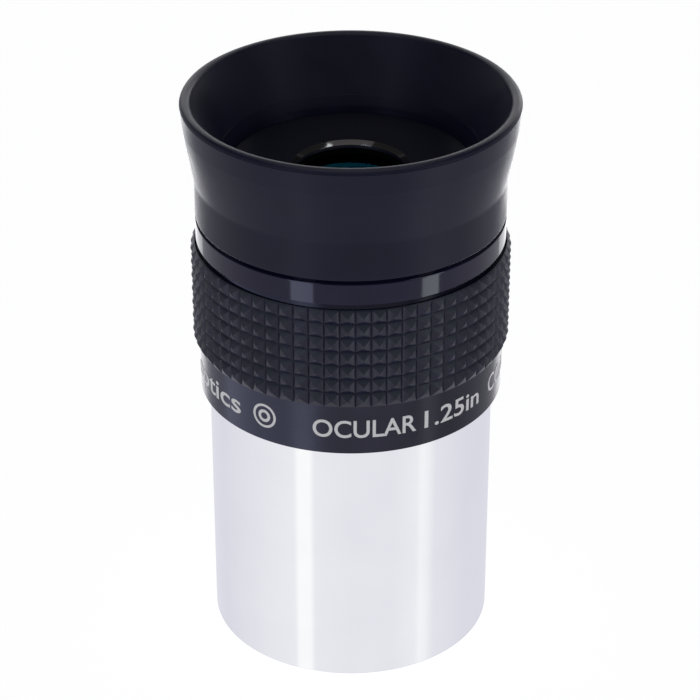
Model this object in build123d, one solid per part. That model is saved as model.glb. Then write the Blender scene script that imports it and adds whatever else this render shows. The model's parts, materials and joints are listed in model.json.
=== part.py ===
from build123d import *
import math
import os

# A 1.25 inch Ploessl eyepiece that stands on the foot of its barrel.
# Millimetres, +Z up along the optical axis, origin at the middle of the foot.

# ---- driving dimensions -------------------------------------------------

barrel_r = 15.875               # the 1.25 inch standard nosepiece
barrel_wall = 1.575
filter_thread_r = 13.93         # crests of the M28.5 x 0.6 filter thread
filter_thread_length = 4.5
body_thread_r = 14.7            # crests of the thread that joins barrel and housing
body_thread_length = 6.0

shoulder_z = 30.15              # underside of the black band
band_top_z = 36.17
grip_top_z = 47.9
neck_z = 48.4
neck_top_z = 50.83
cup_z = 51.2                    # lower edge of the rubber eyecup
plate_top_z = 56.4
cup_top_z = 64.53

band_r = 16.9
grip_seat_r = 16.3
grip_valley_r = 17.2
grip_tip_r = 17.66
grip_columns = 64
grip_rows = 7
grip_phase = 0.29               # of a column, from the front to the first valley
neck_r = 17.0
lip_r = 18.35
lip_roll_r = 0.63               # section radius of the rolled lip

lens_r = 7.0
eye_vertex_z = 54.1             # middle of the eye lens's face, which is slightly hollow
flint_thickness = 1.2
crown_thickness = 4.47
doublet_gap = 0.5
outer_curve = 35.0              # radii of the lens surfaces
cement_curve = 13.4
inner_curve = 14.5

thread_clearance = 0.05         # radial, between parts that screw together
bore_clearance = 0.2            # radial, between a tube and the ring around it
face_clearance = 0.03           # axial, where the barrel stops
thread_runout = 0.3             # axial, past the end of a thread
edge = 0.15                     # the small chamfer on turned edges

# ---- helpers ------------------------------------------------------------


def lathe(*points):
    """Turn a closed outline of (radius, height) points around the axis."""
    outline = Polyline([(r, 0, z) for r, z in points], close=True)
    return revolve(make_face(outline), Axis.Z)


def tube(r_in, r_out, z_low, z_high):
    return lathe((r_in, z_low), (r_out, z_low), (r_out, z_high), (r_in, z_high))


def surface_z(vertex_z, curve, r):
    """Height of a spherical lens surface at radius r; a positive curve has its centre above."""
    sag = abs(curve) - math.sqrt(curve * curve - r * r)
    return vertex_z + math.copysign(sag, curve)


def lens_element(low_vertex, low_curve, high_vertex, high_curve):
    """A round lens between two spherical surfaces."""
    low_edge = (lens_r, 0, surface_z(low_vertex, low_curve, lens_r))
    low_mid = (lens_r / 2, 0, surface_z(low_vertex, low_curve, lens_r / 2))
    high_edge = (lens_r, 0, surface_z(high_vertex, high_curve, lens_r))
    high_mid = (lens_r / 2, 0, surface_z(high_vertex, high_curve, lens_r / 2))
    outline = [
        ThreePointArc((0, 0, low_vertex), low_mid, low_edge),
        Line(low_edge, high_edge),
        ThreePointArc(high_edge, high_mid, (0, 0, high_vertex)),
        Line((0, 0, high_vertex), (0, 0, low_vertex)),
    ]
    return revolve(make_face(outline), Axis.Z)


def spanner_slots(r_mid, z_low, depth, width=1.2, length=1.6):
    """Two opposite notches for a pin spanner, cut up from a ring's lower face."""
    slot = Box(length, width, 2 * depth)
    return [Pos(side * r_mid, 0, z_low) * slot for side in (-1, 1)]


# ---- barrel and what stays in it ----------------------------------------

barrel_bore_r = barrel_r - barrel_wall
barrel_top_z = shoulder_z - face_clearance
body_socket_r = body_thread_r + thread_clearance
body_socket_z = shoulder_z - body_thread_length - thread_runout
seal_seat_r = 15.4
seal_seat_depth = 0.6


def make_barrel():
    seal_seat_z = barrel_top_z - seal_seat_depth
    return lathe(
        (filter_thread_r + 2 * edge, 0),
        (barrel_r - edge, 0),
        (barrel_r, edge),
        (barrel_r, barrel_top_z),
        (seal_seat_r, barrel_top_z),
        (seal_seat_r, seal_seat_z),
        (body_socket_r, seal_seat_z),
        (body_socket_r, body_socket_z),
        (barrel_bore_r, body_socket_z),
        (barrel_bore_r, filter_thread_length),
        (filter_thread_r, filter_thread_length),
        (filter_thread_r, 2 * edge),
    )


baffle_z = 18.0
baffle_thickness = 1.2
baffle_hole_r = 11.0


def make_barrel_baffle():
    knife = 0.2
    slope = baffle_thickness - knife
    return lathe(
        (baffle_hole_r + slope, baffle_z),
        (barrel_bore_r, baffle_z),
        (barrel_bore_r, baffle_z + baffle_thickness),
        (baffle_hole_r, baffle_z + baffle_thickness),
        (baffle_hole_r, baffle_z + slope),
    )


seal_section_r = 0.26


def make_barrel_seal():
    """O-ring in the seat at the barrel's rim, just clear of the spigot and the shoulder."""
    r_mid = (body_thread_r + seal_seat_r) / 2
    z_mid = barrel_top_z - seal_seat_depth / 2
    return Pos(0, 0, z_mid) * Torus(r_mid, seal_section_r)


# ---- housing and its rings ----------------------------------------------

spigot_z = shoulder_z - body_thread_length
stop_bore_r = 13.0              # bore below the lens cell, threaded for the field stop
stop_bore_top_z = 36.0
waist_r = 11.4
cell_ledge_z = 42.0
cell_bore_r = 13.0
neck_socket_z = 45.6
neck_thread_r = 14.6
neck_socket_r = neck_thread_r + thread_clearance
relief_depth = 0.4              # groove between the thread and the shoulder, beside the O-ring
rim_recess_r = 15.95            # shallow recess in the shoulder that the barrel's rim faces
rim_recess_depth = 0.05


def make_housing():
    relief_r = body_thread_r - relief_depth
    relief_z = shoulder_z - seal_seat_depth
    return lathe(
        (stop_bore_r, spigot_z),
        (body_thread_r - 2 * edge, spigot_z),
        (body_thread_r, spigot_z + 2 * edge),
        (body_thread_r, relief_z),
        (relief_r, relief_z),
        (relief_r, shoulder_z + rim_recess_depth),
        (rim_recess_r, shoulder_z + rim_recess_depth),
        (rim_recess_r, shoulder_z),
        (band_r - edge / 2, shoulder_z),
        (band_r, shoulder_z + edge / 2),
        (band_r, band_top_z),
        (grip_seat_r, band_top_z),
        (grip_seat_r, neck_z),
        (neck_socket_r, neck_z),
        (neck_socket_r, neck_socket_z),
        (cell_bore_r, neck_socket_z),
        (cell_bore_r, cell_ledge_z),
        (waist_r, cell_ledge_z),
        (waist_r, stop_bore_top_z),
        (stop_bore_r, stop_bore_top_z),
    )


def make_grip_ring():
    """Rubber sleeve whose outside is rows and columns of small pyramids."""
    row_pitch = (grip_top_z - band_top_z) / grip_rows
    outline = [(grip_seat_r, band_top_z)]
    for row in range(grip_rows):
        valley_z = band_top_z + row * row_pitch
        outline.append((grip_valley_r, valley_z))
        outline.append((grip_tip_r, valley_z + row_pitch / 2))
    outline.append((grip_valley_r, grip_top_z))
    outline.append((grip_seat_r, grip_top_z))
    ridged = lathe(*outline)

    # Each V groove is one prism whose edge runs down a valley.
    half_pitch = math.pi / grip_columns
    beyond = 1.0
    mouth_r = grip_tip_r + beyond
    depth = grip_tip_r - grip_valley_r
    half_mouth = math.tan(half_pitch) * grip_tip_r * (1 + beyond / depth)
    groove = Polyline(
        [(grip_valley_r, 0, 0), (mouth_r, -half_mouth, 0), (mouth_r, half_mouth, 0)], close=True
    )
    prism = Pos(0, 0, band_top_z - beyond) * extrude(
        make_face(groove), grip_top_z - band_top_z + 2 * beyond, dir=(0, 0, 1)
    )
    column_pitch_deg = 360 / grip_columns
    grooves = [
        Rot(0, 0, -90 + column_pitch_deg * (column + grip_phase)) * prism
        for column in range(grip_columns)
    ]
    return ridged - grooves


field_stop_z = 32.4
field_stop_thickness = 2.0
field_stop_hole_r = 6.55
stop_slot_inset = 0.9
stop_slot_depth = 0.8


def make_field_stop():
    knife = 0.15
    slope = field_stop_thickness - knife
    ring = lathe(
        (field_stop_hole_r + 2 * slope, field_stop_z),
        (stop_bore_r, field_stop_z),
        (stop_bore_r, field_stop_z + field_stop_thickness),
        (field_stop_hole_r, field_stop_z + field_stop_thickness),
        (field_stop_hole_r, field_stop_z + slope),
    )
    return ring - spanner_slots(stop_bore_r - stop_slot_inset, field_stop_z, stop_slot_depth)


# ---- neck, eye plate and eyecup -----------------------------------------

groove_r = 16.3                 # the dark groove under the eyecup
cup_seat_r = 15.0
cup_seat_top_z = 55.0
bead_r = 14.4                   # the bead that keys the eyecup to its seat
bead_z = 52.6
bead_height = 1.2
neck_bore_r = 11.0
plate_thread_r = 12.55
plate_thread_z = 52.8
plate_rim_r = 13.35
plate_rim_z = 55.6


def make_neck_ring():
    plate_socket_r = plate_thread_r + thread_clearance
    plate_socket_z = plate_thread_z - thread_runout
    neck_spigot_z = neck_socket_z + thread_runout
    return lathe(
        (neck_bore_r, neck_spigot_z),
        (neck_thread_r, neck_spigot_z),
        (neck_thread_r, neck_z),
        (neck_r - edge, neck_z),
        (neck_r, neck_z + edge),
        (neck_r, neck_top_z - edge),
        (neck_r - edge, neck_top_z),
        (groove_r, neck_top_z),
        (groove_r, cup_z),
        (cup_seat_r, cup_z),
        (cup_seat_r, bead_z),
        (bead_r, bead_z),
        (bead_r, bead_z + bead_height),
        (cup_seat_r, bead_z + bead_height),
        (cup_seat_r, cup_seat_top_z),
        (plate_socket_r, cup_seat_top_z),
        (plate_socket_r, plate_socket_z),
        (neck_bore_r, plate_socket_z),
    )


hole_r = 5.95
hole_bevel = 0.45
cell_tube_r = 9.2
cell_top_z = plate_rim_z


def make_eye_plate():
    """Disc around the eye lens, with a threaded skirt that screws into the neck."""
    skirt_r_in = cell_tube_r + bore_clearance
    return lathe(
        (hole_r, plate_rim_z),
        (skirt_r_in, plate_rim_z),
        (skirt_r_in, plate_thread_z),
        (plate_thread_r, plate_thread_z),
        (plate_thread_r, plate_rim_z),
        (plate_rim_r, plate_rim_z),
        (plate_rim_r, plate_top_z),
        (hole_r + hole_bevel, plate_top_z),
        (hole_r, plate_top_z - hole_bevel),
    )


collar_low_r = 13.4             # inside of the eyecup's fixed collar, around the plate's rim
collar_mid_r = 13.6
collar_mid_z = 57.2
collar_r = 14.05                # its top inner edge
collar_outer_r = 14.85
collar_z = 58.4
fold_z = 57.6                   # the eyecup folds down above this level
flare_r = 17.45                 # outside of the skirt at the fold
lip_mid_r = lip_r - lip_roll_r
lip_mid_z = cup_top_z - lip_roll_r
lip_under_z = lip_mid_z - lip_roll_r
shoulder_r = 18.15              # outside of the skirt just under the lip
lip_split_r = 17.35             # the moving lip clears the neck it slides over
split_gap = 0.05


def make_eyecup_base():
    """The part of the rubber eyecup that grips the neck and never moves."""
    flange_r = plate_thread_r + bore_clearance
    return lathe(
        (cup_seat_r, cup_z),
        (neck_r, cup_z),
        (neck_r, fold_z),
        (collar_outer_r, fold_z),
        (collar_outer_r, collar_z),
        (collar_r, collar_z),
        (collar_mid_r, collar_mid_z),
        (collar_low_r, plate_top_z),
        (collar_low_r, plate_rim_z),
        (flange_r, plate_rim_z),
        (flange_r, cup_seat_top_z),
        (cup_seat_r, cup_seat_top_z),
        (cup_seat_r, bead_z + bead_height),
        (bead_r, bead_z + bead_height),
        (bead_r, bead_z),
        (cup_seat_r, bead_z),
    )


def roll_z(r, side):
    """Height of the lip's round section at radius r: side +1 is its top, -1 its underside."""
    return lip_mid_z + side * math.sqrt(lip_roll_r ** 2 - (r - lip_mid_r) ** 2)


def make_eyecup_skirt():
    """The flared wall that rolls down, with the inner edge of the lip's roll."""
    skirt_r = lip_split_r - split_gap
    inner_r = lip_mid_r - lip_roll_r
    between_r = (inner_r + skirt_r) / 2
    inner_wall = Line((collar_r, 0, collar_z), (inner_r, 0, lip_mid_z))
    roll = ThreePointArc(
        (inner_r, 0, lip_mid_z),
        (between_r, 0, roll_z(between_r, 1)),
        (skirt_r, 0, roll_z(skirt_r, 1)),
    )
    outer_wall = Polyline([
        (skirt_r, 0, roll_z(skirt_r, 1)),
        (skirt_r, 0, lip_under_z - split_gap),
        (shoulder_r, 0, lip_under_z - split_gap),
        (flare_r, 0, fold_z),
        (collar_outer_r, 0, fold_z),
        (collar_outer_r, 0, collar_z),
        (collar_r, 0, collar_z),
    ])
    return revolve(make_face([inner_wall, roll, outer_wall]), Axis.Z)


def make_eyecup_lip():
    """The lip's roll without its inner edge, which travels down outside the neck."""
    low = (lip_split_r, 0, roll_z(lip_split_r, -1) + split_gap)
    high = (lip_split_r, 0, roll_z(lip_split_r, 1))
    outside = ThreePointArc(low, (lip_r, 0, lip_mid_z), high)
    return revolve(make_face([outside, Line(high, low)]), Axis.Z)


# ---- lens cell and the optics -------------------------------------------

eye_cement_z = eye_vertex_z - flint_thickness
eye_inner_z = eye_cement_z - crown_thickness
field_inner_z = eye_inner_z - doublet_gap
field_cement_z = field_inner_z - crown_thickness
field_vertex_z = field_cement_z - flint_thickness

seat_ring_r = 6.08
seat_ring_top_z = 55.1
cell_lip_r = 6.02
cell_bottom_z = 39.8
cell_flange_r = cell_bore_r - thread_clearance
cell_flange_top_z = 43.6
lens_fit = 0.02                 # radial play of the lenses in the cell
retainer_hole_r = 6.2
retainer_r = 7.6
retainer_thickness = 1.6
retainer_slot_depth = 0.6
lock_ring_top_z = 45.2
spacer_width = 0.6
seat_z = surface_z(eye_vertex_z, outer_curve, lens_r)
retainer_top_z = surface_z(field_vertex_z, -outer_curve, lens_r)


def make_lens_cell():
    bore_r = lens_r + lens_fit
    retainer_socket_r = retainer_r + thread_clearance
    return lathe(
        (retainer_socket_r, cell_bottom_z),
        (cell_tube_r, cell_bottom_z),
        (cell_tube_r, cell_ledge_z),
        (cell_flange_r, cell_ledge_z),
        (cell_flange_r, cell_flange_top_z),
        (cell_tube_r, cell_flange_top_z),
        (cell_tube_r, cell_top_z),
        (cell_lip_r, cell_top_z),
        (cell_lip_r, seat_ring_top_z),
        (bore_r, seat_ring_top_z),
        (bore_r, retainer_top_z),
        (retainer_socket_r, retainer_top_z),
    )


def make_eye_seat_ring():
    return tube(seat_ring_r, lens_r, seat_z, seat_ring_top_z)


def make_eye_flint():
    return lens_element(eye_cement_z, -cement_curve, eye_vertex_z, outer_curve)


def make_eye_crown():
    return lens_element(eye_inner_z, inner_curve, eye_cement_z, -cement_curve)


def make_lens_spacer():
    """Ring that holds the two doublets apart; its bevels are tangent to the lenses at their edges."""
    z_low = surface_z(field_inner_z, -inner_curve, lens_r)
    z_high = surface_z(eye_inner_z, inner_curve, lens_r)
    bevel = spacer_width * lens_r / math.sqrt(inner_curve ** 2 - lens_r ** 2)
    return lathe(
        (lens_r - spacer_width, z_low + bevel),
        (lens_r, z_low),
        (lens_r, z_high),
        (lens_r - spacer_width, z_high - bevel),
    )


def make_field_crown():
    return lens_element(field_cement_z, cement_curve, field_inner_z, -inner_curve)


def make_field_flint():
    return lens_element(field_vertex_z, -outer_curve, field_cement_z, cement_curve)


def make_lens_retainer():
    z_low = retainer_top_z - retainer_thickness
    ring = tube(retainer_hole_r, retainer_r, z_low, retainer_top_z)
    slot_r = (retainer_hole_r + retainer_r) / 2
    return ring - spanner_slots(slot_r, z_low, retainer_slot_depth, length=2.0)


def make_cell_lock_ring():
    return tube(cell_tube_r + bore_clearance, cell_bore_r, cell_flange_top_z, lock_ring_top_z)


# ---- write every sub-part -----------------------------------------------

parts = {
    "barrel": make_barrel(),
    "barrel_baffle": make_barrel_baffle(),
    "barrel_seal": make_barrel_seal(),
    "housing": make_housing(),
    "grip_ring": make_grip_ring(),
    "field_stop": make_field_stop(),
    "neck_ring": make_neck_ring(),
    "eye_plate": make_eye_plate(),
    "eyecup_base": make_eyecup_base(),
    "eyecup_skirt": make_eyecup_skirt(),
    "eyecup_lip": make_eyecup_lip(),
    "lens_cell": make_lens_cell(),
    "cell_lock_ring": make_cell_lock_ring(),
    "eye_seat_ring": make_eye_seat_ring(),
    "eye_flint": make_eye_flint(),
    "eye_crown": make_eye_crown(),
    "lens_spacer": make_lens_spacer(),
    "field_crown": make_field_crown(),
    "field_flint": make_field_flint(),
    "lens_retainer": make_lens_retainer(),
}

os.makedirs("parts", exist_ok=True)
for node, shape in parts.items():
    shape.label = node
    export_step(shape, f"parts/{node}.step")
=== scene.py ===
import json
import math

import bmesh
import bpy
import numpy as np
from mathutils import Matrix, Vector


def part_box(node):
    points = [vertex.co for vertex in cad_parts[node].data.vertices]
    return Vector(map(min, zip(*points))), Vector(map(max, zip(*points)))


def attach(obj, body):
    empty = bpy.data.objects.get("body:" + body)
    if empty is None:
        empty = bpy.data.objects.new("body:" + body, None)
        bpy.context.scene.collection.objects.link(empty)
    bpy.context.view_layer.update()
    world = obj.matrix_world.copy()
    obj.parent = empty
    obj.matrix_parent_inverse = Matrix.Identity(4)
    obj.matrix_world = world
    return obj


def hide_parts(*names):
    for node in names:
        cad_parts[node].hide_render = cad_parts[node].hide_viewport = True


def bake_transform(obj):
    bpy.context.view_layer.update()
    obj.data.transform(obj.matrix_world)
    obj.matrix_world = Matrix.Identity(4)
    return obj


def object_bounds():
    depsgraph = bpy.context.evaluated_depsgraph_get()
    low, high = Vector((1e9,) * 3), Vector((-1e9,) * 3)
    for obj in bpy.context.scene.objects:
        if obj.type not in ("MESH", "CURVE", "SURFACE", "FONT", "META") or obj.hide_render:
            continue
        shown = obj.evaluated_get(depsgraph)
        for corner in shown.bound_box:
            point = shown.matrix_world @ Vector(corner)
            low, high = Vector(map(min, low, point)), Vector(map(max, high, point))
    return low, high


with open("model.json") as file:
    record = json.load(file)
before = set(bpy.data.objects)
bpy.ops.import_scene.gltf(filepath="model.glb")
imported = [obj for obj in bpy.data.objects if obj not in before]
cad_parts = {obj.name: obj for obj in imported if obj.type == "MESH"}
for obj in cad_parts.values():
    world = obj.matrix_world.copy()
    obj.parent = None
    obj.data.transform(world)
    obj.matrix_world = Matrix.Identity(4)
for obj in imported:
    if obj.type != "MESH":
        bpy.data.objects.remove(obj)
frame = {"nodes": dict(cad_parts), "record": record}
cad_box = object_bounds()

# A 1.25 inch telescope eyepiece on its barrel. Lengths below are millimetres, turned into
# metres when a mesh is made. Azimuth is measured from the front (-Y), positive to the right.

MM = 0.001
SEGMENTS = 256
SKIN = 0.01                     # a point this near to a wall's radius or end lies on it


# ---- places from the frame ------------------------------------------------

def radius(node):
    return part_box(node)[1][0] / MM


def bottom(node):
    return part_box(node)[0][2] / MM


def top(node):
    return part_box(node)[1][2] / MM


mounts = {mount["name"]: mount for mount in frame["record"]["mounts"]}
shoulder_z = mounts["stop_shoulder"]["pos_m"][2] / MM
filter_r = mounts["filter_thread"]["dims"]["r_mm"]

barrel_r = radius("barrel")
barrel_top = top("barrel")
bore_r = radius("barrel_baffle")
band_r = radius("housing")
band_top = bottom("grip_ring")
grip_top = top("grip_ring")
neck_z = top("housing")
neck_r = radius("neck_ring")
cup_z = bottom("eyecup_base")
cup_top = top("eyecup_lip")
lip_r = radius("eyecup_lip")
collar_top = top("eyecup_base")
plate_top = top("eye_plate")
plate_r = radius("eye_plate")

end_gap = 0.3                   # left beyond the end of a spigot
side_gap = 0.05                 # left round a spigot


# ---- outlines, lathes and threads -----------------------------------------

barrel_pitch = 0.75             # thread between the housing and the barrel
filter_pitch = 0.6              # thread for filters, in the barrel's foot
thread_depth = 0.3
thread_step = 0.08              # mesh step along a threaded wall


def arc(centre, r, start, end, steps):
    """Points of a round stretch, from angle start to end in degrees."""
    angles = np.radians(np.linspace(start, end, steps + 1))
    return [(centre[0] + r * math.cos(a), centre[1] + r * math.sin(a)) for a in angles]


def rounded(corners, steps=6):
    """Closed outline from (r, z) corners; a third value rounds the corner with that radius."""
    points = []
    for here, corner in enumerate(corners):
        if len(corner) == 2:
            points.append(corner)
            continue
        tip = Vector(corner[:2])
        before = (Vector(corners[here - 1][:2]) - tip).normalized()
        after = (Vector(corners[(here + 1) % len(corners)][:2]) - tip).normalized()
        half = before.angle(after) / 2
        centre = tip + (before + after).normalized() * corner[2] / math.sin(half)
        first = tip + before * corner[2] / math.tan(half) - centre
        last = tip + after * corner[2] / math.tan(half) - centre
        start = math.atan2(first.y, first.x)
        turn = math.atan2(first.x * last.y - first.y * last.x, first.dot(last))
        points += arc(centre, corner[2], math.degrees(start), math.degrees(start + turn), steps)
    return points


def divided(points, longest, z_low, z_high):
    """The same closed outline with its stretches between z_low and z_high cut into short steps."""
    result = []
    for here, start in enumerate(points):
        end = points[(here + 1) % len(points)]
        result.append(start)
        middle = (start[1] + end[1]) / 2
        if not z_low < middle < z_high:
            continue
        cuts = int(math.dist(start, end) / longest)
        for cut in range(1, cuts + 1):
            t = cut / (cuts + 1)
            result.append((start[0] + t * (end[0] - start[0]), start[1] + t * (end[1] - start[1])))
    return result


def lathe(name, outline, materials, zone=None, relief=None, split=None,
          segments=SEGMENTS, first=0.0, closed=True, sharp=40):
    """Turn an outline round the axis, from azimuth first. zone(r, z) picks a face's material,
    relief(r, z, azimuth) returns how far a point stands out from its outline, and split(quads)
    cuts the grid of quads into triangles."""
    r, z = np.array(outline).T
    azimuth = first + np.arange(segments)[:, None] * (2 * math.pi / segments)
    radii = np.broadcast_to(r, (segments, len(r)))
    if relief:
        radii = radii + relief(r, z, azimuth)
    heights = np.broadcast_to(z, radii.shape)
    xyz = np.stack([radii * np.sin(azimuth), -radii * np.cos(azimuth), heights], axis=-1) * MM
    strips = len(r) if closed else len(r) - 1
    around = np.arange(segments)[:, None]
    along = np.arange(strips)[None, :]
    next_around = (around + 1) % segments
    next_along = (along + 1) % len(r)
    corners = [(around, along), (next_around, along), (next_around, next_along), (around, next_along)]
    quads = np.stack([i * len(r) + j for i, j in corners], axis=-1)
    faces = split(quads) if split else quads.reshape(-1, 4)

    mesh = bpy.data.meshes.new(name)
    mesh.from_pydata(xyz.reshape(-1, 3).tolist(), [], faces.tolist())
    for material in materials:
        mesh.materials.append(material)
    if zone:
        middle_r = (r + np.roll(r, -1))[:strips] / 2
        middle_z = (z + np.roll(z, -1))[:strips] / 2
        indices = [zone(a, b) for a, b in zip(middle_r, middle_z)]
        mesh.polygons.foreach_set("material_index", np.tile(indices, segments))
    if not closed:
        weld(mesh)
    mesh.shade_smooth()
    mesh.set_sharp_from_angle(angle=math.radians(sharp))
    piece = bpy.data.objects.new(name, mesh)
    bpy.context.scene.collection.objects.link(piece)
    flat = piece.modifiers.new("flat_faces_stay_flat", "WEIGHTED_NORMAL")
    flat.keep_sharp = True
    return piece


def weld(mesh):
    """Join the points that lie together on the axis."""
    work = bmesh.new()
    work.from_mesh(mesh)
    bmesh.ops.remove_doubles(work, verts=work.verts, dist=1e-7)
    work.to_mesh(mesh)
    work.free()


def thread(pitch, z_low, z_high, crest_r, side):
    """Relief of a right-hand screw thread on the wall at crest_r. Side -1 cuts inwards into a
    spigot, and +1 cuts outwards from a bore."""
    def relief(r, z, azimuth):
        turns = z / pitch - azimuth / (2 * math.pi)
        tooth = np.abs(turns % 1 - 0.5) * 2
        runout = np.clip(np.minimum(z - z_low, z_high - z) / pitch, 0, 1)
        on_wall = np.abs(r - crest_r) < SKIN
        return side * thread_depth * tooth * runout * on_wall
    return relief


def belongs(piece, body, slot, *nodes):
    """Parent a piece to the body that it rides on and hide the CAD nodes it replaces; slot is not used."""
    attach(piece, body)
    if nodes:
        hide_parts(*nodes)


# ---- materials ------------------------------------------------------------

class Material:
    """A node material: make() adds nodes and shader holds the Principled BSDF."""

    noise_low = 0.3             # most of a noise texture lies between these two
    noise_high = 0.7

    def __init__(self, name, color, roughness, metallic=0.0, specular=0.5):
        self.material = bpy.data.materials.new(name)
        self.material.use_nodes = True
        self.tree = self.material.node_tree
        self.shader = self.tree.nodes["Principled BSDF"]
        self.set("Base Color", (*color, 1))
        self.set("Roughness", roughness)
        self.set("Metallic", metallic)
        self.set("Specular IOR Level", specular)
        self.place = self.make("ShaderNodeTexCoord").outputs["Object"]

    def set(self, socket, value):
        self.shader.inputs[socket].default_value = value

    def make(self, kind, inputs=(), **settings):
        """Add a node, and give each input a value or link it to another node's output."""
        node = self.tree.nodes.new(kind)
        for key, value in settings.items():
            setattr(node, key, value)
        for socket, value in dict(inputs).items():
            if isinstance(value, bpy.types.NodeSocket):
                self.tree.links.new(value, node.inputs[socket])
            else:
                node.inputs[socket].default_value = value
        return node

    def link(self, output, socket):
        self.tree.links.new(output, self.shader.inputs[socket])

    def noise(self, per_mm, stretch=(1, 1, 1), detail=3.0, roughness=0.55):
        """Noise with per_mm features to the millimetre, times stretch along each axis."""
        scale = tuple(per_mm / MM * s for s in stretch)
        spread = self.make("ShaderNodeMapping", {"Vector": self.place, "Scale": scale})
        inputs = {"Vector": spread.outputs[0], "Scale": 1.0, "Detail": detail, "Roughness": roughness}
        return self.make("ShaderNodeTexNoise", inputs).outputs["Fac"]

    def radial_noise(self, per_mm, detail=3.0):
        """Noise that only changes with the distance from the axis: turning marks on a flat face."""
        flat = self.make("ShaderNodeVectorMath", {0: self.place, 1: (1, 1, 0)}, operation="MULTIPLY")
        distance = self.make("ShaderNodeVectorMath", {0: flat.outputs[0]}, operation="LENGTH")
        inputs = {"W": distance.outputs["Value"], "Scale": per_mm / MM, "Detail": detail}
        return self.make("ShaderNodeTexNoise", inputs, noise_dimensions="1D").outputs["Fac"]

    def spread(self, factor, low, high):
        """A number between low and high that follows a noise."""
        inputs = {"Value": factor, "From Min": self.noise_low, "From Max": self.noise_high,
                  "To Min": low, "To Max": high}
        return self.make("ShaderNodeMapRange", inputs).outputs["Result"]

    def tint(self, factor, dark, light):
        """A colour between dark and light that follows a noise."""
        ramp = self.make("ShaderNodeValToRGB", {"Fac": factor})
        first, last = ramp.color_ramp.elements
        first.position = self.noise_low
        last.position = self.noise_high
        first.color = (*dark, 1)
        last.color = (*light, 1)
        return ramp.outputs["Color"]

    def bump(self, height, depth_mm, after=None):
        """A normal from a height, on top of another bump's normal where one is given."""
        inputs = {"Height": height, "Distance": depth_mm * MM, "Strength": 1.0}
        if after:
            inputs["Normal"] = after
        return self.make("ShaderNodeBump", inputs).outputs["Normal"]


def chrome():
    """Polished plate: faint buffing lines round the tube and soft smears."""
    m = Material("chrome_plate", (0.88, 0.885, 0.90), 0.05, metallic=1.0)
    smears = m.noise(0.12, detail=4)
    lines = m.noise(1.0, stretch=(0.02, 0.02, 9), detail=2)
    m.link(m.tint(smears, (0.865, 0.87, 0.89), (0.895, 0.90, 0.912)), "Base Color")
    m.link(m.spread(smears, 0.04, 0.085), "Roughness")
    m.link(m.bump(lines, 0.0004), "Normal")
    return m.material


def black_gloss():
    """Polished black anodising with fine turning lines round the part."""
    m = Material("gloss_anodised", (0.005, 0.004, 0.014), 0.1, specular=0.2)
    lines = m.noise(1.0, stretch=(0.05, 0.05, 14), detail=2)
    patches = m.noise(0.25, detail=3)
    m.link(m.tint(patches, (0.0045, 0.0035, 0.013), (0.007, 0.0055, 0.018)), "Base Color")
    m.link(m.spread(lines, 0.05, 0.11), "Roughness")
    m.link(m.bump(lines, 0.0004), "Normal")
    return m.material


def band_satin():
    """Anodised band of the body, less polished, so that the lamps spread out in it."""
    m = Material("band_anodised", (0.009, 0.008, 0.018), 0.24, specular=0.15)
    lines = m.noise(1.0, stretch=(0.05, 0.05, 12), detail=2)
    patches = m.noise(0.3, detail=3)
    m.link(m.tint(patches, (0.008, 0.0074, 0.016), (0.011, 0.0098, 0.021)), "Base Color")
    m.link(m.spread(lines, 0.2, 0.28), "Roughness")
    m.link(m.bump(lines, 0.0006), "Normal")
    return m.material


def black_satin():
    """Satin black face with turning marks that run round the axis."""
    m = Material("satin_anodised", (0.006, 0.006, 0.011), 0.35, specular=0.25)
    marks = m.radial_noise(9)
    grain = m.noise(6, detail=2)
    m.link(m.tint(grain, (0.005, 0.005, 0.009), (0.008, 0.008, 0.014)), "Base Color")
    m.link(m.spread(marks, 0.28, 0.45), "Roughness")
    m.link(m.bump(grain, 0.002, after=m.bump(marks, 0.003)), "Normal")
    return m.material


def bright_bevel():
    """Bare, finely turned edge of the plate's hole."""
    m = Material("turned_bevel", (0.125, 0.118, 0.116), 0.1, metallic=1.0)
    marks = m.radial_noise(14)
    m.link(m.tint(marks, (0.095, 0.09, 0.088), (0.15, 0.142, 0.14)), "Base Color")
    m.link(m.spread(marks, 0.06, 0.14), "Roughness")
    m.link(m.bump(marks, 0.0005), "Normal")
    return m.material


def black_matt():
    """Dead black paint with a dusty grain, for what stray light must not bounce off."""
    m = Material("matt_black", (0.006, 0.006, 0.007), 0.7, specular=0.2)
    grain = m.noise(5, detail=4, roughness=0.7)
    m.link(m.tint(grain, (0.004, 0.004, 0.005), (0.012, 0.012, 0.013)), "Base Color")
    m.link(m.spread(grain, 0.6, 0.85), "Roughness")
    m.link(m.bump(grain, 0.01), "Normal")
    return m.material


def cell_black():
    """Machined matt anodising of the lens cell and its rings."""
    m = Material("cell_anodised", (0.02, 0.02, 0.023), 0.4, metallic=0.3, specular=0.3)
    lines = m.noise(1.0, stretch=(0.05, 0.05, 10), detail=2)
    marks = m.radial_noise(10)
    m.link(m.tint(marks, (0.014, 0.014, 0.017), (0.03, 0.03, 0.034)), "Base Color")
    m.link(m.spread(lines, 0.32, 0.5), "Roughness")
    m.link(m.bump(lines, 0.001, after=m.bump(marks, 0.001)), "Normal")
    return m.material


def grip_rubber():
    """Firm satin rubber with a fine moulded grain and a little dust."""
    m = Material("grip_rubber", (0.006, 0.0065, 0.016), 0.26, specular=0.25)
    grain = m.noise(9, detail=3, roughness=0.6)
    dust = m.noise(0.8, detail=5, roughness=0.65)
    m.link(m.tint(dust, (0.005, 0.0056, 0.014), (0.008, 0.0088, 0.021)), "Base Color")
    m.link(m.spread(dust, 0.2, 0.32), "Roughness")
    m.link(m.bump(grain, 0.004), "Normal")
    return m.material


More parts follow.
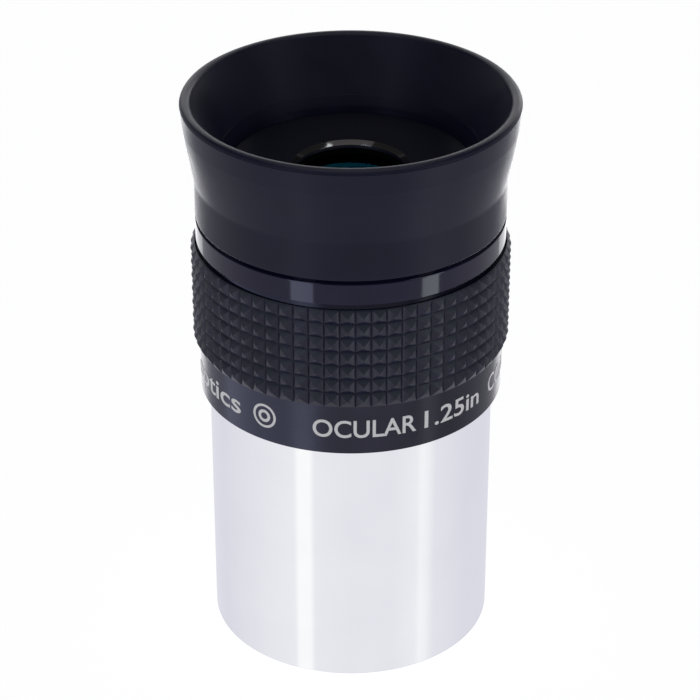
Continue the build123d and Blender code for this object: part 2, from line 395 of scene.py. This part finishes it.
def cup_rubber():
    """Soft matt rubber, almost smooth, with a very fine grain and faint cloudiness."""
    m = Material("cup_rubber", (0.005, 0.0053, 0.0155), 0.38, specular=0.15)
    grain = m.noise(14, detail=2, roughness=0.6)
    clouds = m.noise(0.2, detail=4)
    m.link(m.tint(clouds, (0.0045, 0.0048, 0.0135), (0.0056, 0.006, 0.0175)), "Base Color")
    m.link(m.spread(clouds, 0.33, 0.43), "Roughness")
    m.link(m.bump(grain, 0.0025), "Normal")
    return m.material


def seal_rubber():
    """Smooth O-ring rubber."""
    m = Material("seal_rubber", (0.012, 0.012, 0.012), 0.35, specular=0.4)
    grain = m.noise(8, detail=3)
    m.link(m.tint(grain, (0.009, 0.009, 0.009), (0.016, 0.016, 0.016)), "Base Color")
    m.link(m.spread(grain, 0.3, 0.45), "Roughness")
    m.link(m.bump(grain, 0.003), "Normal")
    return m.material


coating_alpha = 0.5


def coating(name, dark, light, edge):
    """A coated lens face: a faint coloured mirror that most light passes through."""
    m = Material(name, light, 0.02, metallic=1.0)
    m.set("Specular Tint", (*edge, 1))
    m.set("Alpha", coating_alpha)
    dust = m.noise(1.2, detail=5, roughness=0.7)
    m.link(m.tint(dust, dark, light), "Base Color")
    m.link(m.spread(dust, 0.015, 0.045), "Roughness")
    return m.material


def white_paint():
    """Printed white ink, slightly uneven."""
    m = Material("white_ink", (0.66, 0.66, 0.68), 0.45)
    grain = m.noise(7, detail=4, roughness=0.6)
    m.link(m.tint(grain, (0.60, 0.60, 0.62), (0.70, 0.70, 0.72)), "Base Color")
    m.link(m.spread(grain, 0.4, 0.6), "Roughness")
    m.link(m.bump(grain, 0.003), "Normal")
    return m.material


floor_glow = 0.93


def floor_paper():
    """Pale seamless paper that glows a little, as a lit studio table does."""
    m = Material("pale_floor", (0.45, 0.45, 0.45), 0.8, specular=0.0)
    fibre = m.noise(0.5, detail=4)
    m.link(m.tint(fibre, (0.44, 0.44, 0.44), (0.46, 0.46, 0.46)), "Base Color")
    m.set("Emission Color", (1, 1, 1, 1))
    m.set("Emission Strength", floor_glow)
    return m.material


GREEN = {"dark": (0.0005, 0.022, 0.027), "light": (0.001, 0.028, 0.036), "edge": (0.02, 0.3, 0.38)}
BLUE = {"dark": (0.008, 0.02, 0.035), "light": (0.011, 0.026, 0.044), "edge": (0.15, 0.2, 0.3)}

CHROME = chrome()
GLOSS = black_gloss()
BAND = band_satin()
SATIN = black_satin()
BEVEL = bright_bevel()
MATT = black_matt()
CELL = cell_black()
GRIP = grip_rubber()
CUP = cup_rubber()
SEAL = seal_rubber()
OUTER_COAT = coating("coating_green", **GREEN)
INNER_COAT = coating("coating_blue", **BLUE)
INK = white_paint()


# ---- barrel ---------------------------------------------------------------

foot_edge = 0.15
filter_lead_in = 2 * foot_edge
filter_thread_top = 4.5
socket_r = 14.75                # crests of the thread that takes the housing
socket_z = bottom("housing") - end_gap
seat_r = 15.4                   # seat of the O-ring in the rim
seat_z = barrel_top - 0.6


def make_barrel():
    outline = rounded([
        (filter_r + filter_lead_in, 0),
        (barrel_r, 0, foot_edge),
        (barrel_r, barrel_top, 0.06),
        (seat_r, barrel_top, 0.04),
        (seat_r, seat_z),
        (socket_r, seat_z),
        (socket_r, socket_z),
        (bore_r, socket_z),
        (bore_r, filter_thread_top),
        (filter_r, filter_thread_top),
        (filter_r, filter_lead_in),
    ])
    outline = divided(outline, thread_step, filter_lead_in, filter_thread_top)
    outline = divided(outline, thread_step, socket_z, seat_z)
    filter_cut = thread(filter_pitch, filter_lead_in, filter_thread_top, filter_r, +1)
    socket_cut = thread(barrel_pitch, socket_z, seat_z, socket_r, +1)

    def relief(r, z, azimuth):
        return filter_cut(r, z, azimuth) + socket_cut(r, z, azimuth)

    def zone(r, z):
        inside = r < seat_r and filter_thread_top < z < barrel_top
        return 1 if inside else 0

    piece = lathe("barrel_tube", outline, [CHROME, MATT], zone=zone, relief=relief)
    belongs(piece, "barrel", "chrome", "barrel")
    return piece


# ---- housing with the black band ------------------------------------------

spigot_z = bottom("housing")
spigot_r = 14.7                 # crests of the thread that goes into the barrel
spigot_edge = 0.2
relief_r = 14.3                 # undercut between the thread and the shoulder
relief_z = shoulder_z - 0.6
rim_recess_r = 15.95
rim_recess_depth = 0.05
stop_bore_r = radius("field_stop")
stop_bore_top = 36.0
waist_r = 11.4
painted_r = waist_r + 2         # faces nearer to the axis than this are painted matt
cell_ledge_z = 42.0
cell_bore_r = radius("cell_lock_ring")
neck_spigot_r = 14.6
neck_spigot_z = bottom("neck_ring")
neck_socket_r = neck_spigot_r + side_gap
neck_socket_z = neck_spigot_z - end_gap
grip_seat_r = 16.3


def make_housing():
    outline = rounded([
        (stop_bore_r, spigot_z),
        (spigot_r, spigot_z, spigot_edge),
        (spigot_r, relief_z),
        (relief_r, relief_z),
        (relief_r, shoulder_z + rim_recess_depth),
        (rim_recess_r, shoulder_z + rim_recess_depth),
        (rim_recess_r, shoulder_z),
        (band_r, shoulder_z, 0.08),
        (band_r, band_top, 0.04),
        (grip_seat_r, band_top),
        (grip_seat_r, neck_z),
        (neck_socket_r, neck_z),
        (neck_socket_r, neck_socket_z),
        (cell_bore_r, neck_socket_z),
        (cell_bore_r, cell_ledge_z),
        (waist_r, cell_ledge_z),
        (waist_r, stop_bore_top),
        (stop_bore_r, stop_bore_top),
    ])
    outline = divided(outline, thread_step, spigot_z, relief_z)
    cut = thread(barrel_pitch, spigot_z + spigot_edge, relief_z, spigot_r, -1)

    def zone(r, z):
        inside = r < painted_r and z > spigot_z
        return 1 if inside else 0

    piece = lathe("body_shell", outline, [BAND, MATT], zone=zone, relief=cut)
    belongs(piece, "housing", "black_anodised", "housing")
    return piece


# ---- rubber grip ----------------------------------------------------------

grip_columns = 64
grip_rows = 7
grip_phase = 0.29               # of a column, from the front to the first valley
grip_valley_r = 17.2
grip_tip_r = radius("grip_ring")
grip_blunt = 0.92               # height of a blunt tip, of the pointed one
grip_groove = 0.05              # depth of the lines between the pyramids
grip_trench = 0.35              # depth of the step behind the sleeve's top edge
grip_trench_r = 16.95
grip_sharp = 22                 # degrees; the pyramids' own ridges are sharper than this
cells = 10                      # mesh cells across one pyramid


def make_grip():
    row_pitch = (grip_top - band_top) / grip_rows
    height = grip_tip_r - grip_valley_r
    steps = grip_rows * cells
    trench_z = grip_top - grip_trench
    outside = [(grip_valley_r, band_top + row_pitch * step / cells) for step in range(steps + 1)]
    inside = [(grip_trench_r, trench_z), (grip_seat_r, trench_z), (grip_seat_r, band_top)]

    def relief(r, z, azimuth):
        across = np.abs((azimuth * grip_columns / (2 * math.pi) - grip_phase) % 1 - 0.5)
        up = np.abs(((z - band_top) / row_pitch) % 1 - 0.5)
        inwards = 1 - 2 * np.maximum(across, up)
        pyramid = height * np.minimum(inwards, grip_blunt)
        groove = np.where((inwards < 0.5 / cells) & (z > band_top + SKIN), grip_groove, 0)
        return (pyramid - groove) * (r > grip_valley_r - SKIN)

    first = grip_phase * 2 * math.pi / grip_columns
    piece = lathe("grip_sleeve", outside + inside, [GRIP], relief=relief, split=split_ridges,
                  segments=grip_columns * cells, first=first, sharp=grip_sharp)
    piece.modifiers.clear()
    belongs(piece, "housing", "grip_rubber", "grip_ring")
    return piece


def split_ridges(quads):
    """Triangles from the sleeve's quads, each cut along the ridge of its pyramid."""
    left = np.arange(quads.shape[0])[:, None] % cells < cells / 2
    low = np.arange(quads.shape[1])[None, :] % cells < cells / 2
    rising = (left == low)[..., None]
    first = np.where(rising, quads[..., [0, 1, 2]], quads[..., [0, 1, 3]])
    second = np.where(rising, quads[..., [0, 2, 3]], quads[..., [1, 2, 3]])
    return np.stack([first, second], axis=2).reshape(-1, 3)


# ---- neck ring ------------------------------------------------------------

neck_top = 50.83
groove_r = 16.3
cup_seat_r = 15.0
cup_seat_top = 55.0
bead_r = 14.4
bead_z = 52.6
bead_top = 53.8
neck_bore_r = 11.0
plate_thread_r = 12.55
plate_thread_z = bottom("eye_plate")
plate_socket_r = plate_thread_r + side_gap
plate_socket_z = plate_thread_z - end_gap


def make_neck():
    outline = rounded([
        (neck_bore_r, neck_spigot_z),
        (neck_spigot_r, neck_spigot_z),
        (neck_spigot_r, neck_z),
        (neck_r, neck_z, 0.04),
        (neck_r, neck_top, 0.16),
        (groove_r, neck_top),
        (groove_r, cup_z),
        (cup_seat_r, cup_z),
        (cup_seat_r, bead_z),
        (bead_r, bead_z),
        (bead_r, bead_top),
        (cup_seat_r, bead_top),
        (cup_seat_r, cup_seat_top),
        (plate_socket_r, cup_seat_top),
        (plate_socket_r, plate_socket_z),
        (neck_bore_r, plate_socket_z),
    ])
    piece = lathe("neck_band", outline, [GLOSS])
    belongs(piece, "housing", "black_anodised", "neck_ring")
    return piece


# ---- eye plate and what shows through its hole ------------------------------

hole_r = 5.95
hole_bevel = 0.45
plate_rim_z = 55.6
plate_skirt_r = radius("eye_seat_ring") + 2.4
seat_ring_bore_r = 6.08


def make_plate():
    outline = rounded([
        (hole_r, plate_rim_z),
        (plate_skirt_r, plate_rim_z),
        (plate_skirt_r, plate_thread_z),
        (plate_thread_r, plate_thread_z),
        (plate_thread_r, plate_rim_z),
        (plate_r, plate_rim_z),
        (plate_r, plate_top, 0.1),
        (hole_r + hole_bevel, plate_top, 0.04),
        (hole_r, plate_top - hole_bevel, 0.04),
    ])

    def zone(r, z):
        on_bevel = r < hole_r + hole_bevel and z > plate_top - hole_bevel
        return 1 if on_bevel else 0

    piece = lathe("plate_disc", outline, [SATIN, BEVEL], zone=zone)
    belongs(piece, "housing", "black_anodised", "eye_plate")
    return piece


def make_seat_ring():
    low = bottom("eye_seat_ring")
    high = top("eye_seat_ring")
    outer = radius("eye_seat_ring")
    outline = rounded([(seat_ring_bore_r, low), (outer, low), (outer, high), (seat_ring_bore_r, high, 0.12)])
    piece = lathe("seat_ring", outline, [CELL])
    belongs(piece, "housing", "cell_metal", "eye_seat_ring")
    return piece


# ---- lenses ---------------------------------------------------------------

lens_r = radius("eye_flint")
outer_curve = 35.0              # radii of the doublets' outer and inner faces
inner_curve = 14.5


def surface(vertex_z, curve, steps=24):
    """Points of a spherical surface from the axis outwards; a positive curve has its centre above."""
    points = []
    for step in range(steps + 1):
        r = lens_r * step / steps
        sag = abs(curve) - math.sqrt(curve * curve - r * r)
        points.append((r, vertex_z + math.copysign(sag, curve)))
    return points


def make_doublet(name, low, high, outer_side, *nodes):
    """Two cemented lenses as the one body of glass that they look like."""
    middle_z = (low[0] + high[0]) / 2

    def zone(r, z):
        return 0 if (z - middle_z) * outer_side > 0 else 1

    outline = surface(*low) + surface(*high)[::-1]
    piece = lathe(name, outline, [OUTER_COAT, INNER_COAT], zone=zone, closed=False)
    belongs(piece, "housing", "coated_glass", *nodes)
    return piece


def make_lenses():
    outer_sag = outer_curve - math.sqrt(outer_curve ** 2 - lens_r ** 2)
    eye_vertex = top("eye_flint") - outer_sag
    field_vertex = bottom("field_flint") + outer_sag
    eye = make_doublet("eye_doublet", (bottom("eye_crown"), inner_curve), (eye_vertex, outer_curve),
                       +1, "eye_flint", "eye_crown")
    field = make_doublet("field_doublet", (field_vertex, -outer_curve),
                         (top("field_crown"), -inner_curve), -1, "field_flint", "field_crown")
    return [eye, field]


# ---- eyecup ---------------------------------------------------------------

root_r = neck_r - 0.1
root_z = cup_z + 0.05
root_bore_r = plate_thread_r + 0.2
root_shoulder_r = neck_r + 0.06
collar_r = 14.05
collar_mid = (13.6, 57.2)
collar_low_r = 13.4
roll_r = 0.63                   # section radius of the rolled lip
roll = (lip_r - roll_r, cup_top - roll_r)
roll_angles = (16, 160)         # from the wall outside to the bowl inside
wall_top_r = lip_r - 0.07
wall_hidden_r = neck_r - 0.6    # the side of the wall that lies in the fixed rubber
flared = [(17.80, 60.0, 12.0), (18.06, 61.6, 5.0)]
crease = 0.04                   # depth of the line where the lip is joined to the wall
crease_z = roll[1] + 0.08
crease_half = 0.05              # half its width
flare_z = 55.5
fold_start = 56.6
fold_step = 0.25                # mesh step along the flared wall and its lip


def make_cup_root():
    """The fixed rubber that grips the neck."""
    outline = rounded([
        (cup_seat_r, root_z),
        (root_r, root_z),
        (root_r, flare_z),
        (root_shoulder_r, fold_start),
        (collar_r + 0.7, collar_top, 0.5),
        (collar_r, collar_top, 0.12),
        (*collar_mid, 0.8),
        (collar_low_r, plate_top),
        (collar_low_r, plate_rim_z),
        (root_bore_r, plate_rim_z),
        (root_bore_r, cup_seat_top),
        (cup_seat_r, cup_seat_top),
        (cup_seat_r, bead_top),
        (bead_r, bead_top),
        (bead_r, bead_z),
        (cup_seat_r, bead_z),
    ])
    piece = lathe("cup_root", outline, [CUP])
    belongs(piece, "housing", "cup_rubber", "eyecup_base")
    return piece


def make_cup_wall():
    """The flared wall and its rolled lip, one moulding."""
    outline = rounded([
        (wall_hidden_r, cup_z),
        (neck_r, cup_z, 0.12),
        (neck_r, flare_z, 2.5),
        *flared,
        (wall_top_r, crease_z - crease_half),
        (wall_top_r - crease, crease_z),
        (wall_top_r, crease_z + crease_half),
        *arc(roll, roll_r, *roll_angles, 24),
        (collar_r, collar_top + 0.02),
        (collar_r + 0.3, collar_top - 0.4),
        (wall_hidden_r, fold_start - 0.2),
    ])
    outline = divided(outline, fold_step, cup_z, cup_top)
    piece = lathe("cup_wall", outline, [CUP])
    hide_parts("eyecup_skirt", "eyecup_lip")
    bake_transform(piece)
    return piece


# ---- markings on the band ---------------------------------------------------

ink_height = 0.02
marking_z = 33.25
marking_step = 0.35             # mesh step along the band
capital_height = 2.1
capital_share = 0.70            # a capital's height, of the font's size
stroke_growth = 0.035

# Text, height of a capital, and the first and last azimuth in degrees.
WORDS = {
    "left": ("optics", 2.3, -84, -45),
    "front": ("OCULAR", capital_height, -14, 24.6),
    "size": ("1.25in", capital_height, 28, 55.7),
    "right": ("COATED", capital_height, 63, 101),
}

icon_height = 2.9
icon_azimuths = (-38.5, -28.5)
icon_rings = ((0.40, 0.50), (0.14, 0.26))       # inner and outer radius, of its height
icon_turns = 48


def letters(name, words, height):
    """Flat outline letters as a mesh, one capital height tall."""
    curve = bpy.data.curves.new(name, "FONT")
    curve.body = words
    curve.size = height / capital_share
    curve.offset = stroke_growth
    curve.extrude = ink_height
    curve.resolution_u = 6
    source = bpy.data.objects.new(name, curve)
    bpy.context.scene.collection.objects.link(source)
    depsgraph = bpy.context.evaluated_depsgraph_get()
    mesh = bpy.data.meshes.new_from_object(source.evaluated_get(depsgraph))
    bpy.data.objects.remove(source)
    return mesh


def wrap(name, mesh, first_deg, last_deg, height):
    """Stretch a flat marking between two azimuths and bend it round the band."""
    xyz = np.array([v.co for v in mesh.vertices])
    low = xyz.min(axis=0)
    high = xyz.max(axis=0)
    width = math.radians(last_deg - first_deg) * band_r
    work = bmesh.new()
    work.from_mesh(mesh)
    for vert in work.verts:
        vert.co.x = (vert.co.x - low[0]) / (high[0] - low[0]) * width
        vert.co.y = vert.co.y - height / 2
    for step in range(1, int(width / marking_step) + 1):
        everything = work.verts[:] + work.edges[:] + work.faces[:]
        cut = (step * marking_step, 0, 0)
        bmesh.ops.bisect_plane(work, geom=everything, plane_co=cut, plane_no=(1, 0, 0))
    for vert in work.verts:
        azimuth = math.radians(first_deg) + vert.co.x / band_r
        r = band_r + vert.co.z
        z = marking_z + vert.co.y
        vert.co = Vector((r * math.sin(azimuth), -r * math.cos(azimuth), z)) * MM
    bmesh.ops.recalc_face_normals(work, faces=work.faces)
    work.to_mesh(mesh)
    work.free()
    mesh.materials.clear()
    mesh.materials.append(INK)
    piece = bpy.data.objects.new(name, mesh)
    bpy.context.scene.collection.objects.link(piece)
    belongs(piece, "housing", "black_anodised")
    return piece


def circle_of_verts(work, r, middle, depth):
    angles = [2 * math.pi * turn / icon_turns for turn in range(icon_turns)]
    return [work.verts.new((r * math.cos(a), middle + r * math.sin(a), depth)) for a in angles]


def rings_icon(name, height):
    """Two concentric rings, a generic sign for a lens."""
    work = bmesh.new()
    for inner, outer in icon_rings:
        section = ((inner, 0), (outer, 0), (outer, ink_height), (inner, ink_height))
        loops = [circle_of_verts(work, share * height, height / 2, depth) for share, depth in section]
        for side, here in enumerate(loops):
            there = loops[(side + 1) % len(loops)]
            for turn in range(icon_turns):
                after = (turn + 1) % icon_turns
                work.faces.new((here[turn], here[after], there[after], there[turn]))
    mesh = bpy.data.meshes.new(name)
    work.to_mesh(mesh)
    work.free()
    return mesh


def make_markings():
    for place, (text, height, first, last) in WORDS.items():
        name = "marking_" + place
        wrap(name, letters(name, text, height), first, last, height)
    icon = rings_icon("marking_icon", icon_height)
    wrap("marking_icon", icon, *icon_azimuths, icon_height)


# ---- CAD nodes that show as they are ---------------------------------------

def repaint():
    """Give the inner pieces that keep their CAD shape a material from this script."""
    finishes = {
        "barrel_baffle": MATT, "field_stop": MATT, "barrel_seal": SEAL,
        "lens_cell": CELL, "cell_lock_ring": CELL, "lens_spacer": CELL, "lens_retainer": CELL,
    }
    for node, material in finishes.items():
        for material_slot in frame["nodes"][node].material_slots:
            material_slot.material = material


# ---- studio ---------------------------------------------------------------

camera_elevation = 29.845
camera_distance = 294.37
camera_target_z = 33.318
camera_lens = 134.6
camera_sensor = 36
camera_shift = -0.0012          # of the picture's width
camera_near = 10
floor_half = 3000
floor_gap = 0.02
softbox_distance = 400


def make_camera():
    data = bpy.data.cameras.new("camera")
    data.lens = camera_lens
    data.sensor_width = camera_sensor
    data.shift_x = camera_shift
    data.clip_start = camera_near * MM
    camera = bpy.data.objects.new("camera", data)
    tilt = math.radians(camera_elevation)
    back = -camera_distance * math.cos(tilt)
    up = camera_target_z + camera_distance * math.sin(tilt)
    camera.location = Vector((0, back, up)) * MM
    camera.rotation_euler = (math.pi / 2 - tilt, 0, 0)
    bpy.context.scene.collection.objects.link(camera)
    bpy.context.scene.camera = camera


def make_floor():
    size = floor_half * MM
    mesh = bpy.data.meshes.new("floor")
    corners = [(-size, -size, 0), (size, -size, 0), (size, size, 0), (-size, size, 0)]
    mesh.from_pydata(corners, [], [(0, 1, 2, 3)])
    mesh.materials.append(floor_paper())
    floor = bpy.data.objects.new("floor", mesh)
    bpy.context.scene.collection.objects.link(floor)
    floor.location.z = cad_box[0][2] - floor_gap * MM
    floor.visible_glossy = False


# Brightness of the white tent round the object: (azimuth in degrees, linear grey).
TENT = [
    (-180, 0.77), (-130, 0.77), (-75, 0.88), (-48, 0.93), (-44, 1.08), (-34, 1.08), (-30, 0.92),
    (0, 0.88), (35, 0.88), (56, 0.94), (60, 1.02), (66, 0.98), (74, 0.86), (110, 0.78), (180, 0.74),
]
# The same tent from the floor up: (elevation in degrees, share of that brightness).
CEILING = [(-90, 1.0), (0, 1.0), (14, 0.5), (28, 0.1), (90, 0.08)]
BRIGHTEST = 1.1
neutral_grey = 1.05             # the brightness at which the tent is white
tent_blueness = 0.25


def ramp_of(tree, value, low, high, stops):
    """A colour ramp over value, from (place, colour) stops between low and high."""
    ranged = tree.nodes.new("ShaderNodeMapRange")
    ranged.inputs["From Min"].default_value = low
    ranged.inputs["From Max"].default_value = high
    tree.links.new(value, ranged.inputs["Value"])
    ramp = tree.nodes.new("ShaderNodeValToRGB")
    elements = ramp.color_ramp.elements
    while len(elements) < len(stops):
        elements.new(0.5)
    for element, (place, color) in zip(elements, stops):
        element.position = (place - low) / (high - low)
        element.color = (*color, 1)
    tree.links.new(ranged.outputs["Result"], ramp.inputs["Fac"])
    return ramp.outputs["Color"]


def math_node(tree, operation, *values):
    """The output of a Math node, whose inputs are numbers or other nodes' outputs."""
    node = tree.nodes.new("ShaderNodeMath")
    node.operation = operation
    for socket, value in zip(node.inputs, values):
        if isinstance(value, bpy.types.NodeSocket):
            tree.links.new(value, socket)
        else:
            socket.default_value = value
    return node.outputs[0]


def tent_color(grey):
    """The tent's darker parts are a little bluer."""
    blue = grey + tent_blueness * (neutral_grey - grey)
    return (grey / BRIGHTEST, grey / BRIGHTEST, blue / BRIGHTEST)


def make_tent():
    """The world: TENT round the horizon, times CEILING with the elevation."""
    world = bpy.data.worlds.new("tent")
    bpy.context.scene.world = world
    world.use_nodes = True
    world.cycles.sampling_method = "NONE"
    tree = world.node_tree
    direction = tree.nodes.new("ShaderNodeTexCoord").outputs["Generated"]
    split = tree.nodes.new("ShaderNodeSeparateXYZ")
    tree.links.new(direction, split.inputs[0])
    towards_front = math_node(tree, "MULTIPLY", split.outputs["Y"], -1)
    azimuth = math_node(tree, "ARCTAN2", split.outputs["X"], towards_front)
    elevation = math_node(tree, "ARCSINE", split.outputs["Z"])
    around = [(math.radians(degrees), tent_color(grey)) for degrees, grey in TENT]
    upwards = [(math.radians(degrees), (share, share, share)) for degrees, share in CEILING]
    walls = ramp_of(tree, azimuth, -math.pi, math.pi, around)
    ceiling = ramp_of(tree, elevation, -math.pi / 2, math.pi / 2, upwards)
    both = tree.nodes.new("ShaderNodeVectorMath")
    both.operation = "MULTIPLY"
    tree.links.new(walls, both.inputs[0])
    tree.links.new(ceiling, both.inputs[1])
    background = tree.nodes["Background"]
    background.inputs["Strength"].default_value = BRIGHTEST
    tree.links.new(both.outputs[0], background.inputs["Color"])


def softbox(name, azimuth, elevation, size, radiance, receivers, color=(1, 1, 1)):
    """An area light that looks at the middle of the object and lights only the receivers."""
    data = bpy.data.lights.new(name, "AREA")
    data.shape = "RECTANGLE"
    data.size = size[0] * MM
    data.size_y = size[1] * MM
    data.energy = radiance * math.pi * data.size * data.size_y
    data.color = color
    light = bpy.data.objects.new(name, data)
    a = math.radians(azimuth)
    e = math.radians(elevation)
    away = Vector((math.sin(a) * math.cos(e), -math.cos(a) * math.cos(e), math.sin(e)))
    light.location = Vector((0, 0, camera_target_z)) * MM + away * softbox_distance * MM
    light.rotation_euler = away.to_track_quat("Z", "Y").to_euler()
    light.visible_camera = False
    bpy.context.scene.collection.objects.link(light)
    linked = bpy.data.collections.new(name + "_receivers")
    for piece in receivers:
        linked.objects.link(piece)
    light.light_linking.receiver_collection = linked
    light.light_linking.blocker_collection = linked


BLUISH = (0.63, 0.70, 1.0)
COOL = (0.88, 0.98, 1.0)


def make_lights(band, neck, grip, plate, cup, lenses):
    """Tall strip boxes at the front corners, panels overhead and behind, and fills."""
    softbox("strip_left", -35.5, 0, (118, 1300), 3.9, [neck, plate], BLUISH)
    softbox("strip_right", 59.5, 0, (96, 1300), 4.4, [neck, plate], COOL)
    softbox("band_strip_left", -35.5, 0, (118, 1300), 2.7, [band], BLUISH)
    softbox("band_strip_right", 59.5, 0, (80, 1300), 1.5, [band], COOL)
    softbox("band_fill", -65, -30, (600, 300), 1.8, [band], BLUISH)
    softbox("band_front", 12, -30, (420, 300), 0.6, [band])
    softbox("band_behind", 180, -30, (500, 200), 1.5, [band])
    softbox("rubber_strip_left", -37, 0, (130, 1100), 0.8, [*cup, grip], BLUISH)
    softbox("rubber_strip_right", 60, 0, (120, 1100), 0.9, [*cup, grip], COOL)
    for side in (-1, 0, 1):
        softbox(f"grip_front_{side}", 60 * side, 30, (440, 240), 0.6, [grip], COOL)
    softbox("plate_top", 0, 66, (420, 260), 0.32, [plate])
    softbox("cup_top", 0, 80, (420, 420), 1.4, cup)
    softbox("behind_above", 178, 33, (520, 300), 1.8, [*cup, *lenses])
    softbox("behind_right", 150, 8, (170, 160), 1.6, cup)
    softbox("cup_behind", 180, -30, (430, 200), 3.0, cup)
    softbox("neck_behind", 180, -30, (560, 200), 1.0, [neck])


# ---- put it together --------------------------------------------------------

make_barrel()
band_piece = make_housing()
neck_piece = make_neck()
grip_piece = make_grip()
plate_piece = make_plate()
cup_pieces = [make_cup_root(), make_cup_wall()]
make_seat_ring()
lens_pieces = make_lenses()
make_markings()
repaint()
make_camera()
make_floor()
make_tent()
make_lights(band_piece, neck_piece, grip_piece, plate_piece, cup_pieces, lens_pieces)
bpy.context.scene.view_settings.view_transform = "Standard"
